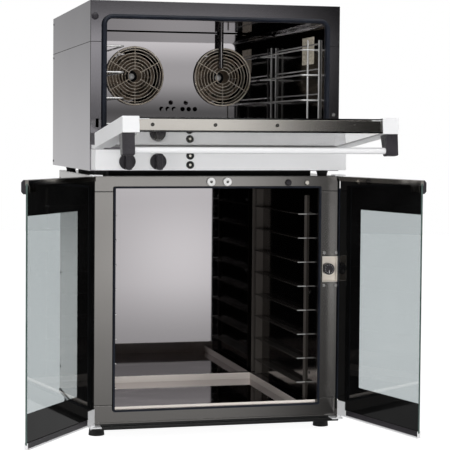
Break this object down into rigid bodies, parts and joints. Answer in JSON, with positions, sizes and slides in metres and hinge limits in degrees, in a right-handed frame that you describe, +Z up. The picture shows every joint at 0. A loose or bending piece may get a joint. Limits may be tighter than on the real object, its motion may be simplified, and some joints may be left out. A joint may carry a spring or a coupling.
{
  "type": "convection oven with proofing cabinet",
  "caption": "Convection oven with a drop-down glass door and fan guards in its chamber, standing on a proofing cabinet with swinging glass doors and tray racks.",
  "frame": {"origin": "floor point under the middle of the box that bounds the part with its doors open", "axes": "+X to the right seen from the front, +Y to the back, +Z up"},
  "size_m": [1.1775, 1.2944, 1.343],
  "materials": {
    "shell_steel": "satin grey steel",
    "chamber_steel": "bright steel",
    "white_steel": "pale brushed steel",
    "rail_steel": "polished",
    "wire": "bright wire",
    "guard_wire": "warm bright wire",
    "fan_steel": "plain",
    "motor_paint": "satin",
    "heater": "dull",
    "gasket": "matt silicone",
    "feet": "matt",
    "black_plastic": "satin",
    "lamp_plastic": "gloss",
    "lamp_glass": "frosted",
    "lamp_box": "satin",
    "door_glass": "clear",
    "leaf_glass": "clear with a dark border",
    "proofer_steel": "dark satin steel",
    "pan_steel": "warm satin steel",
    "magnet": "white",
    "pocket": "pale beige",
    "screws": "bright"
  },
  "bodies": {
    "cabinet": {"oven_hood": "shell_steel", "oven_side_left": "shell_steel", "oven_side_right": "shell_steel", "oven_back": "shell_steel", "oven_base": "shell_steel", "oven_liner": "chamber_steel", "air_baffle": "chamber_steel", "proofer_liner": "chamber_steel", "steam_pipe": "chamber_steel", "control_panel": "white_steel", "hinge_plates": "white_steel", "door_hinge_blocks": "white_steel", "oven_rack_left": "wire", "oven_rack_right": "wire", "proofer_rack_left": "wire", "proofer_rack_right": "wire", "fan_guards": "guard_wire", "fan_motors": "motor_paint", "ring_heaters": "heater", "hairpin_heater": "heater", "oven_gasket": "gasket", "proofer_seal": "gasket", "oven_feet": "feet", "proofer_feet": "feet", "cable_glands": "black_plastic", "control_units": "black_plastic", "signal_lamps": "lamp_plastic", "lamp_lens": "lamp_glass", "lamp_housing": "lamp_box", "proofer_plinth": "proofer_steel", "proofer_lid": "proofer_steel", "proofer_side_left": "proofer_steel", "proofer_side_right": "proofer_steel", "proofer_back": "proofer_steel", "floor_pan": "pan_steel", "door_magnets": "magnet", "dial_pocket": "pocket", "case_screws": "screws"},
    "oven_door": {"door_stiles": "white_steel", "door_rails": "rail_steel", "door_outer_glass": "door_glass", "door_inner_glass": "door_glass", "door_hinge_straps": "white_steel", "handle_brackets": "black_plastic", "handle_bar": "white_steel", "door_screws": "screws"},
    "left_door": {"left_door_glass": "leaf_glass", "left_door_strip": "white_steel", "left_door_band": "rail_steel", "left_door_grip": "black_plastic"},
    "right_door": {"right_door_glass": "leaf_glass", "right_door_strip": "white_steel", "right_door_band": "rail_steel", "right_door_grip": "black_plastic"},
    "timer": {"timer_knob": "black_plastic"},
    "thermostat": {"thermostat_knob": "black_plastic"},
    "dial": {"dial_knob": "black_plastic"},
    "button": {"push_button": "black_plastic"},
    "left_fan": {"fan_left": "fan_steel"},
    "right_fan": {"fan_right": "fan_steel"}
  },
  "joints": [
    {"name": "oven_door_drop", "type": "hinge", "parent": "cabinet", "child": "oven_door", "pos_m": [0.063, -0.206, 0.8964], "axis": [1, 0, 0], "range_deg": [-83.7, 0]},
    {"name": "left_door_swing", "type": "hinge", "parent": "cabinet", "child": "left_door", "pos_m": [-0.333, -0.19, 0.43], "axis": [0, 0, 1], "range_deg": [-2, 128]},
    {"name": "right_door_swing", "type": "hinge", "parent": "cabinet", "child": "right_door", "pos_m": [0.459, -0.19, 0.43], "axis": [0, 0, 1], "range_deg": [-106, 24]},
    {"name": "timer_turn", "type": "hinge", "parent": "cabinet", "child": "timer", "pos_m": [-0.237, -0.224, 0.853], "axis": [0, 1, 0], "range_deg": [0, 330]},
    {"name": "thermostat_turn", "type": "hinge", "parent": "cabinet", "child": "thermostat", "pos_m": [-0.142, -0.224, 0.853], "axis": [0, 1, 0], "range_deg": [0, 290]},
    {"name": "dial_turn", "type": "hinge", "parent": "cabinet", "child": "dial", "pos_m": [0.425, -0.175, 0.5135], "axis": [0, 1, 0], "range_deg": [0, 270]},
    {"name": "button_press", "type": "slide", "parent": "cabinet", "child": "button", "axis": [0, 1, 0], "range_m": [0, 0.004], "stiffness_N_per_m": 400},
    {"name": "left_fan_spin", "type": "hinge", "parent": "cabinet", "child": "left_fan", "pos_m": [-0.093, 0.503, 1.135], "axis": [0, 1, 0], "continuous": true},
    {"name": "right_fan_spin", "type": "hinge", "parent": "cabinet", "child": "right_fan", "pos_m": [0.219, 0.503, 1.135], "axis": [0, 1, 0], "continuous": true}
  ]
}
